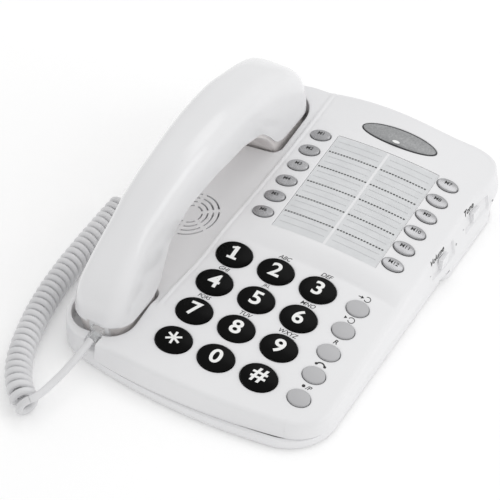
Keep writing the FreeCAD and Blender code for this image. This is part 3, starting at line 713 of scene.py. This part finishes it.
def fuller(loop, amount):
    """Case outline with its back end swollen, most at the back right corner."""
    x, y = loop.T
    distance = np.hypot(x - CORNER_BULGE["x"], y - CORNER_BULGE["y"]) / CORNER_BULGE["reach"]
    corner = CORNER_BULGE["height"] * np.exp(-distance ** 2) * math.sqrt(0.5)
    widening = BACK_WIDENING * smooth((y - 78.0) / 28.0) * smooth((x - 50.0) / 25.0)
    deepening = BACK_DEEPENING * smooth((y - 92.0) / 26.0)
    return np.stack([x + (widening + corner) * amount, y + (deepening + corner) * amount], 1)


def flare(x, y):
    """How far the foot of the right-hand wall stands out beside the memory panel."""
    return FOOT_FLARE * smooth((y - 20.0) / 35.0) * smooth((x - 45.0) / 35.0)


def swelling(level):
    """Share of the swelling at a level of the wall, from 0 at the seam to 1 at the fillet."""
    return 0.35 + 0.65 * smooth(1.9 * level)


def near_notch(x, y):
    """Whether a point of a loop is by the notch that the cord passes through."""
    return abs(x - HANDSET_X) < 6.0 and y < -95.0


def near_sliders(x, y):
    return x > 80.0 and 26.0 < y < 100.0


def near_line_jack(x, y):
    return y > 100.0 and LINE_JACK_LOW[0] - 3 < x < LINE_JACK_HIGH[0] + 3


def let_in(wall, z):
    """Presses the slider slots and the line socket into one ring of the wall."""
    for _, y, slider_z in SLIDERS:
        depth = smooth((SLIDER_SLOT["half_length"] - np.abs(wall[:, 1] - y)) / SLIDER_SLOT["edge"])
        depth *= smooth((SLIDER_SLOT["half_height"] - np.abs(z - slider_z)) / SLIDER_SLOT["edge"])
        wall[:, 0] -= SLIDER_SLOT["depth"] * depth * (wall[:, 0] > 60)
    middle, half = (LINE_JACK_LOW + LINE_JACK_HIGH) / 2, (LINE_JACK_HIGH - LINE_JACK_LOW) / 2
    depth = smooth(half[0] + 0.3 - np.abs(wall[:, 0] - middle[0]))
    depth *= smooth(half[2] + 0.3 - np.abs(z - middle[2])) * (wall[:, 1] > 100)
    wall[:, 1] = wall[:, 1] * (1 - depth) + (LINE_JACK_HIGH[1] - 1.0) * depth


def case_walls(outline):
    """Rings from the seam up and over the fillet, and the ridge where the top begins."""
    normal = outline - inward(outline, 1.0)
    front, back = smooth((outline[:, 0] + 62) / 20), smooth((outline[:, 0] + 45) / 20)
    rightness = np.where(outline[:, 1] < 0, front, back)
    fillet = LEFT_FILLET + (RIGHT_FILLET - LEFT_FILLET) * rightness
    facing_front = np.clip(-normal[:, 1], 0, 1) ** 2
    lean = LEFT_LEAN + (RIGHT_LEAN - LEFT_LEAN + FRONT_LEAN * facing_front) * rightness
    ridge = fuller(inward(outline, lean + fillet), 1.0)
    top = top_height(ridge[:, 0], ridge[:, 1])
    inset, groove = SEAM_GROOVE
    foot = SEAM_Z + groove
    rings = [lift(inward(outline, inset), SEAM_Z)]
    for level in np.linspace(0.0, 1.0, 28):
        z = foot + (top - fillet - foot) * level
        wall = inward(outline, lean * level)
        wall[:, 0] += flare(*wall.T) * (1 - level)
        wall = fuller(wall, swelling(level))
        let_in(wall, z)
        rings.append(lift(wall, z))
    for angle in np.radians([15, 30, 45, 60, 75, 90]):
        turn = fuller(inward(outline, lean + fillet * (1 - math.cos(angle))), 1.0)
        rings.append(lift(turn, top - fillet * (1 - math.sin(angle))))
    return rings, ridge


def case_holes(sheet):
    """Lines every hole of the top: keys, cups, card, lens and sound slots; returns their loops."""
    holes = []
    for names, (half_x, half_y, *_) in ((NUMBER_KEYS, NUMBER_SIZE), (FUNCTION_KEYS, FUNCTION_SIZE),
                                        (MEMORY_KEYS, MEMORY_SIZE)):
        for name in names:
            loop = key_loop(name, half_x + KEY_GAP, half_y + KEY_GAP, 56)
            holes.append(hole(sheet, loop, KEY_RIM, depth=KEY_WELL, direction=key_frame(name)[3]))
    mouth = denser(rounded_loop(MOUTH_CUP, OUTLINE_STEP), near_notch, 4)
    holes.append(hole(sheet, mouth, CUP_RIM, floor=MOUTH_FLOOR))
    holes.append(hole(sheet, rounded_loop(EAR_CUP, OUTLINE_STEP), CUP_RIM, floor=EAR_FLOOR))
    x_low, x_high, y_low, y_high = CARD
    corners = [(x_low, y_low, 1.0), (x_high, y_low, 1.0), (x_high, y_high, 1.0), (x_low, y_high, 1.0)]
    holes.append(hole(sheet, rounded_loop(corners, 1.5), 0.15, depth=SHALLOW_WELL))
    x, y, half_x, half_y = LENS
    lens = oval_loop(x, y, half_x + LENS_GAP, half_y + LENS_GAP, 96)
    holes.append(hole(sheet, lens, 0.5, depth=SHALLOW_WELL))
    for slot_loop in ringer_slots():
        holes.append(hole(sheet, slot_loop, 0.12, depth=2.2))
    return holes


def top_spots(ridge, holes):
    """Points that carry the top: an even grid, with close rows along the channel's bead and the notch."""
    grid_x, grid_y = np.meshgrid(np.arange(-84, 92, GRID), np.arange(-122, 128, GRID))
    spots = np.column_stack([grid_x.ravel(), grid_y.ravel()])
    spots[:, 0] += 0.6 * (np.round(spots[:, 1] / GRID) % 2)
    edge = channel_edge(spots[:, 1])
    beside = (spots[:, 0] > edge - 1.2) & (spots[:, 0] < edge + 6.2) & (spots[:, 1] > -78)
    spots = spots[~beside]
    rows = np.arange(-78, 118, GRID)
    offsets = (-0.6, 0.0, 0.3, 0.6, 0.9, 1.2, 1.5, 1.8, 2.1, 2.4, 2.8, 3.2, 3.6, 4.0, 4.4, 4.8, 5.3, 5.8)
    bead = [np.column_stack([channel_edge(rows) + offset, rows]) for offset in offsets]
    notch_x, notch_y = np.meshgrid(np.arange(-62.5, -52.5, 0.35), np.arange(-112.5, -107.5, 0.8))
    spots = np.concatenate([spots, *bead, np.column_stack([notch_x.ravel(), notch_y.ravel()])])
    spots = spots[inside(spots, inward(ridge, 0.5))]
    for loop in holes:
        spots = spots[~inside(spots, inward(loop, -0.4))]
    return spots


def make_case():
    outline = denser(rounded_loop(CASE_CORNERS, OUTLINE_STEP), near_notch, 4)
    outline = denser(outline, near_sliders, 2)
    outline = denser(outline, near_line_jack, 3)
    sheet = Sheet()
    rings, ridge = case_walls(outline)
    sheet.rings(rings)
    holes = case_holes(sheet)
    points, faces = fill(ridge, holes, top_spots(ridge, holes))
    sheet.add(lift(points, top_height(points[:, 0], points[:, 1])), faces)
    made = sheet.build("case_top", [CASE], 50.0)
    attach(made, "base")
    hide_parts("upper_case")


make_case()


# --- Legends, index card, cover and lamp lens ---
PRINT_PROUD = 0.1
LETTER_HEIGHT = 2.7
SLIDER_NAME_HEIGHT = 4.0
SLIDER_SIGN_OFFSET = 15.5
LETTERS_BEHIND_KEY = 11.2
SYMBOL_BEHIND_KEY = 8.3


def wall_print(sheet, shape, y, z):
    """Puts a flat shape on the right-hand wall, reading towards the back."""
    points, faces = shape
    across, height = points[:, 0] + y, points[:, 1] + z
    face_x = SIDE_X + PRINT_PROUD
    fillet_foot = top_height(SIDE_X - RIGHT_LEAN - RIGHT_FILLET, across) - RIGHT_FILLET
    level = np.clip((height - SEAM_Z) / (fillet_foot - SEAM_Z), 0, 1)
    rise = np.clip((height - fillet_foot) / RIGHT_FILLET, 0, 0.98)
    out = face_x + flare(face_x, across) * (1 - level) - RIGHT_LEAN * level
    out -= RIGHT_FILLET * (1 - np.sqrt(1 - rise ** 2))
    swollen = fuller(np.column_stack([out, across]), swelling(level))
    sheet.add(np.column_stack([swollen[:, 0], across, height]), faces)


def make_legends():
    """Letters behind the number keys, symbols behind the function keys, and the slider names."""
    sheet = Sheet()
    for name, (_, letters) in NUMBER_KEYS.items():
        if letters:
            x, y, _ = key_frame(name)[0]
            print_on_top(sheet, glyphs(letters, LETTER_HEIGHT, 0.01, 0.3), x, y + LETTERS_BEHIND_KEY)
    shaft = stroke([(-4.0, 0.0), (-3.0, 0.0), (-2.0, 0.0)], 0.55)
    tip = np.array([(-2.2, 1.1), (-0.5, 0.0), (-2.2, -1.1)]), [[0, 1, 2]]
    x, y, _ = key_frame("key_transfer")[0] + np.array([0.3, SYMBOL_BEHIND_KEY, 0.0])
    for shape in (shaft, tip, stroke(arc(1.6, 0.0, 1.8, 130, -150), 0.5)):
        print_on_top(sheet, shape, x, y)
    x, y, _ = key_frame("key_redial")[0] + np.array([0.0, SYMBOL_BEHIND_KEY, 0.0])
    print_on_top(sheet, stroke(arc(0.6, 0.0, 1.9, 160, -160), 0.5), x, y)
    print_on_top(sheet, tip, x - 1.6, y + 0.5)
    x, y, _ = key_frame("key_recall")[0] + np.array([0.0, SYMBOL_BEHIND_KEY + 0.1, 0.0])
    print_on_top(sheet, glyphs("R", 3.0, 0.02, 0.25), x, y)
    x, y, _ = key_frame("key_headset")[0] + np.array([0.0, SYMBOL_BEHIND_KEY - 1.7, 0.0])
    print_on_top(sheet, stroke(arc(0.0, 0.0, 2.6, 155, 25), 0.9), x, y)
    for end_x in (-2.6, 2.6):
        print_on_top(sheet, disc(end_x, 1.0, 0.9, 0.8), x, y)
    x, y, _ = key_frame("key_pause")[0] + np.array([0.0, SYMBOL_BEHIND_KEY, 0.0])
    print_on_top(sheet, disc(-1.6, 0.0, 1.0, 1.0), x, y)
    print_on_top(sheet, glyphs("/P", 2.8, 0.015, 0.25), x + 1.6, y)
    for (_, y, z), word in zip(SLIDERS, ("Volume", "Tone")):
        wall_print(sheet, glyphs(word, SLIDER_NAME_HEIGHT, 0.02, 0.2), y - 6.5, z + 8.4)
        wall_print(sheet, glyphs("-", 0.4), y - SLIDER_SIGN_OFFSET, z)
        wall_print(sheet, glyphs("+", 1.8), y + SLIDER_SIGN_OFFSET, z)
    made = sheet.build("panel_print", [INK])
    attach(made, "base")


def layer(sheet, x_low, x_high, y_low, y_high, below, slot):
    """Grid that follows the memory panel a little below its surface."""
    xs = np.linspace(x_low, x_high, max(2, int((x_high - x_low) / 2.5) + 1))
    ys = np.linspace(y_low, y_high, max(2, int((y_high - y_low) / 6) + 1))
    rings = [np.column_stack([xs, np.full(len(xs), y), top_height(xs, y) - below]) for y in ys]
    sheet.rings(rings, slot, closed=False)


ROW_COUNT = 6
CARD_COLUMNS = ((-7.0, 25.3), (27.0, 59.0))
CARD_ROWS_Y = (5.5, 86.3)
ROW_DASH = stroke([(0, 0), (1.2, 0)], 1.0)
ROW_DASH_STEP = 1.9
LINE_DOT = stroke([(0, 0), (0.55, 0)], 0.3)
LINE_DOT_STEP = 1.0
LINES_IN_ROW = (0.36, 0.7)
CARD_PRINT_DEPTH = 0.28


def make_card():
    """Card with two columns of six rows parted by dashes, each with two dotted lines, under its cover."""
    sheet = Sheet()
    layer(sheet, CARD[0] + 0.2, CARD[1] - 0.2, CARD[2] + 0.2, CARD[3] - 0.2, 0.42, 0)
    low, high = CARD_ROWS_Y
    row = (high - low) / ROW_COUNT
    for left, right in CARD_COLUMNS:
        layer(sheet, left, right, low, high, 0.36, 1)
        for i in range(ROW_COUNT):
            y = low + i * row
            if i:
                for x in np.arange(left + 0.6, right - 1.2, ROW_DASH_STEP):
                    print_on_top(sheet, ROW_DASH, x, y, 2, -CARD_PRINT_DEPTH)
            for line in LINES_IN_ROW:
                for x in np.arange(left + 2.0, right - 2.0, LINE_DOT_STEP):
                    print_on_top(sheet, LINE_DOT, x, y + line * row, 3, -CARD_PRINT_DEPTH)
    made = sheet.build("index_sheet", [CASE, PAPER, INK, INK_GREY])
    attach(made, "base")
    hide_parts("index_card")
    cover = Sheet()
    layer(cover, CARD[0] + 0.1, CARD[1] - 0.1, CARD[2] + 0.1, CARD[3] - 0.1, 0.12, 0)
    made = cover.build("index_window", [COVER])
    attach(made, "base")
    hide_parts("index_cover")


LENS_RIM = 0.6
LENS_DOME = 1.0
LENS_RIM_STEPS = ((0.0, -1.4), (0.0, 0.0), (0.15, 0.2), (0.5, 0.2), (LENS_RIM, 0.05))
BOSS_HEIGHT = 1.3
BOSS_SIZE = (4.0, 1.4)
LENS_MARK = disc(0.3, 0.0, 2.4, 1.1)


def make_lens():
    """Domed oval lens in a dark rim, with a small boss and a white mark at its front."""
    sheet = Sheet()
    x, y, half_x, half_y = LENS
    rings = []
    for shrink, above in LENS_RIM_STEPS:
        loop = oval_loop(x, y, half_x - shrink, half_y - shrink, 96)
        rings.append(lift(loop, top_height(loop[:, 0], loop[:, 1]) + above))
    sheet.rings(rings, 1)
    crown = [rings[-1]]
    boss_y = y - half_y + 1.6
    for scale in (0.97, 0.93, 0.86, 0.76, 0.62, 0.46, 0.28, 0.12):
        loop = oval_loop(x, y, (half_x - LENS_RIM) * scale, (half_y - LENS_RIM) * scale, 96)
        dome = 0.05 + LENS_DOME * (1 - scale ** 2)
        from_boss = (loop - np.array([x, boss_y])) / BOSS_SIZE
        boss = BOSS_HEIGHT * np.exp(-(from_boss ** 2).sum(1))
        crown.append(lift(loop, top_height(loop[:, 0], loop[:, 1]) + dome + boss))
    sheet.rings(crown, 0)
    sheet.fan(crown[-1], (x, y, float(top_height(x, y)) + LENS_DOME + 0.05), 0)
    print_on_top(sheet, LENS_MARK, x, boss_y - 0.1, 2, 1.85)
    made = sheet.build("lamp_window", [LENS_GREY, DARK, WHITE_INK])
    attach(made, "base")
    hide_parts("lamp_lens")


make_legends()
make_card()
make_lens()


# --- Handset ---
# Side view of the handset, y and z: its back, the line where its shells meet, and its underside.
CROWN = [(-104.5, 18.0), (-98.5, 40.0), (-76.0, 61.5), (-40.0, 78.0), (10.0, 87.0), (58.0, 83.5),
         (95.0, 69.0), (109.5, 53.0), (113.5, 32.0)]
PARTING = [(-110.0, 23.5), (-70.0, 23.5), (-62.0, 28.0), (-49.0, 50.0), (-30.0, 59.5), (0.0, 63.5),
           (30.0, 63.0), (47.0, 58.5), (56.0, 49.0), (62.0, 40.5), (69.0, 37.0), (120.0, 37.0)]
UNDERSIDE = [(-110.0, 12.0), (-66.0, 12.0), (-65.0, 13.0), (-64.0, 26.0), (-52.0, 44.5), (-30.0, 55.0),
             (0.0, 59.0), (28.0, 58.5), (45.0, 54.5), (55.0, 45.5), (61.0, 37.0), (65.0, 24.0),
             (66.0, 20.2), (67.0, 20.0), (120.0, 20.0)]
# Plan of the handset, y and half width or middle x.
HALF_WIDTH = [(-110.0, 18.6), (-72.0, 18.4), (-46.0, 17.0), (-20.0, 17.4), (10.0, 19.3), (35.0, 20.2),
              (60.0, 22.0), (76.0, 22.5), (120.0, 22.5)]
CENTRE_X = [(-110.0, -60.2), (-60.0, -59.8), (-30.0, -59.0), (0.0, -58.3), (30.0, -58.2), (120.0, -58.0)]


def mixed(first, second, t, start, end):
    """Point between two, first at t = start and second at t = end."""
    return (end - t) / (end - start) * first + (t - start) / (end - start) * second


def through(points, steps=24):
    """Smooth curve through every point."""
    p = np.array(points)
    p = np.vstack([2 * p[0] - p[1], p, 2 * p[-1] - p[-2]])
    curve = []
    for i in range(1, len(p) - 2):
        spans = np.sqrt(np.linalg.norm(np.diff(p[i - 1:i + 3], axis=0), axis=1))
        knots = np.concatenate([[0], np.cumsum(spans)])
        for t in np.linspace(knots[1], knots[2], steps, endpoint=False):
            a = [mixed(p[i - 1 + k], p[i + k], t, knots[k], knots[k + 1]) for k in range(3)]
            b = [mixed(a[k], a[k + 1], t, knots[k], knots[k + 2]) for k in range(2)]
            curve.append(mixed(b[0], b[1], t, knots[1], knots[2]))
    curve.append(p[-2])
    return np.array(curve)


crown_line = through(CROWN)


def crown_z(y):
    """Height of the handset's back."""
    return np.interp(y, crown_line[:, 0], crown_line[:, 1])


def softened(points, y, width):
    """Height of a polyline at y, its corners rounded over the width."""
    ys, zs = np.array(points).T
    return np.mean([np.interp(y + d, ys, zs) for d in np.linspace(-width, width, 9)], axis=0)


FRONT_ROUNDING = 14.0
BACK_ROUNDING = 19.0
FRONT_TIP = float(np.interp(25.0, crown_line[:60, 1], crown_line[:60, 0]))
BACK_TIP = float(np.interp(-36.5, -crown_line[-60:, 1], crown_line[-60:, 0]))


def rounding(distance, radius):
    """How much a rounded end narrows at a distance from its tip."""
    short = radius - np.clip(distance, 0, radius)
    return radius - np.sqrt(radius ** 2 - short ** 2)


def handset_width(y, inset):
    """Half width in plan and centre x, narrowing round the two ends."""
    half = softened(HALF_WIDTH, y, 10.0) - inset
    half -= rounding(y - FRONT_TIP - inset, FRONT_ROUNDING)
    half -= rounding(BACK_TIP - inset - y, BACK_ROUNDING)
    return half, softened(CENTRE_X, y, 12.0)


def stations(start, end, spots):
    """Values of y, close together near both ends and near the given spots."""
    reach = 17.0
    ends = (1 - np.cos(np.linspace(0, math.pi / 2, 16))) * reach
    ys = [start + ends, end - ends, np.arange(start + reach, end - reach, 1.6)]
    ys += [np.arange(spot - 3.0, spot + 3.0, 0.3) for spot in spots]
    return np.unique(np.round(np.concatenate(ys), 3))


# Middle y and height of the ear and mouth holes, and where each hole is from that middle.
EAR_HOLE_RING = [(5 * math.cos(a), 5 * math.sin(a)) for a in np.radians(range(0, 360, 60))]
EAR_HOLES = (88.0, 19.96, [(0, 0), *EAR_HOLE_RING])
MOUTH_HOLES = (-86.0, 11.96, [(-4, 0), (0, 0), (4, 0)])
HOLE_RADIUS = 1.1
INNER_INSET = 1.7
EDGE_TURN = ((1.6, 0.5), (0.5, -0.3))


def section(angle, power_across, power_up):
    """Half of a squarish oval, from right to left: shares of the half width and of the height."""
    cosine, sine = np.cos(angle), np.sin(angle)
    return np.sign(cosine) * np.abs(cosine) ** (2 / power_across), np.abs(sine) ** (2 / power_up)


def outer_shell(angle):
    """Back of the handset down to the parting line, its edge turned in."""
    across, up = section(angle, 4.0, 2.5)
    turn_x, turn_z = np.array(EDGE_TURN).T
    rings = []
    for y in stations(FRONT_TIP + 0.02, BACK_TIP - 0.02, (-60.0, 58.0)):
        half, x = handset_width(y, 0.0)
        low = float(softened(PARTING, y, 2.5))
        high = max(float(crown_z(y)), low + 0.05)
        xs = np.concatenate([half - turn_x, across * half * (1 - 0.06 * up), turn_x[::-1] - half])
        zs = np.concatenate([low + turn_z, low + (high - low) * up, low + turn_z[::-1]])
        rings.append(np.column_stack([x + xs, np.full(len(xs), y), zs]))
    sheet = Sheet()
    sheet.rings(rings, closed=False)
    return sheet.build("handset_outer", [HANDSET], 50.0)


def inner_shell(angle):
    """Underside of the handset with its ear and mouth pieces, and dark discs painted as the shade of their holes.
    """
    across, down = section(angle, 6.0, 6.0)
    rings = []
    for y in stations(FRONT_TIP + 1.8, BACK_TIP - 1.8, (-65.0, 64.0)):
        half, x = handset_width(y, INNER_INSET)
        high = float(softened(PARTING, y, 2.5)) + 0.6
        low = min(float(softened(UNDERSIDE, y, 0.8)), high - 3.0)
        rings.append(np.column_stack([x + across * half, np.full(len(angle), y), high - (high - low) * down]))
    sheet = Sheet()
    sheet.rings(rings, closed=False)
    sheet.fan(rings[0], rings[0].mean(0))
    sheet.fan(rings[-1], rings[-1].mean(0))
    # The ear and mouth holes are not cut: flat dark discs on the underside are painted shade for the openings.
    for middle_y, z, spots in (EAR_HOLES, MOUTH_HOLES):
        for dx, dy in spots:
            points, faces = disc(HANDSET_X + dx, middle_y + dy, HOLE_RADIUS, HOLE_RADIUS)
            sheet.add(lift(points, z), faces, 1)
    # The inner shell's darker, warmer white is painted shade for the recess under the handset.
    return sheet.build("handset_inner", [INNER_PAINTED_SHADE, DARK], 50.0)


def make_handset():
    angle = np.linspace(0, math.pi, 49)
    for piece, node_name in ((outer_shell(angle), "handset_back_shell"),
                             (inner_shell(angle), "handset_front_shell")):
        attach(piece, "handset")
        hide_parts(node_name)


make_handset()


# --- Floor and light ---
def make_floor():
    reach = 4000
    sheet = Sheet()
    corners = [(-reach, -reach, 0), (reach, -reach, 0), (reach, reach, 0), (-reach, reach, 0)]
    sheet.add(corners, [[0, 1, 2, 3]])
    pale = material("floor_pale", (0.93, 0.93, 0.93), (0.95, 0.95, 0.95), (0.6, 0.7), 40.0, 0.0, 3.0,
                    Specular_IOR_Level=0.1, Emission_Color=(1.0, 1.0, 1.0, 1.0), Emission_Strength=0.12)
    floor = sheet.build("floor", [pale])


def area_light(name, location, size, power, target=(0.0, 0.0, 0.03)):
    """Rectangular lamp that faces the target."""
    data = bpy.data.lights.new(name, "AREA")
    data.shape = "RECTANGLE"
    data.size, data.size_y = size
    data.energy = power
    lamp = bpy.data.objects.new(name, data)
    bpy.context.scene.collection.objects.link(lamp)
    lamp.location = location
    lamp.rotation_mode = "QUATERNION"
    lamp.rotation_quaternion = (Vector(target) - Vector(location)).to_track_quat("-Z", "Y")


def make_world():
    world = bpy.data.worlds.new("studio")
    bpy.context.scene.world = world
    world.use_nodes = True
    background = world.node_tree.nodes["Background"]
    background.inputs["Color"].default_value = (1.0, 1.0, 1.0, 1.0)
    background.inputs["Strength"].default_value = 0.79


make_floor()
make_world()
area_light("right_softbox", (1.5, 0.3, 1.0), (1.0, 1.0), 4.5)
area_light("overhead", (0.1, 0.9, 1.6), (1.4, 0.7), 4.0)
bpy.context.scene.view_settings.view_transform = "Standard"
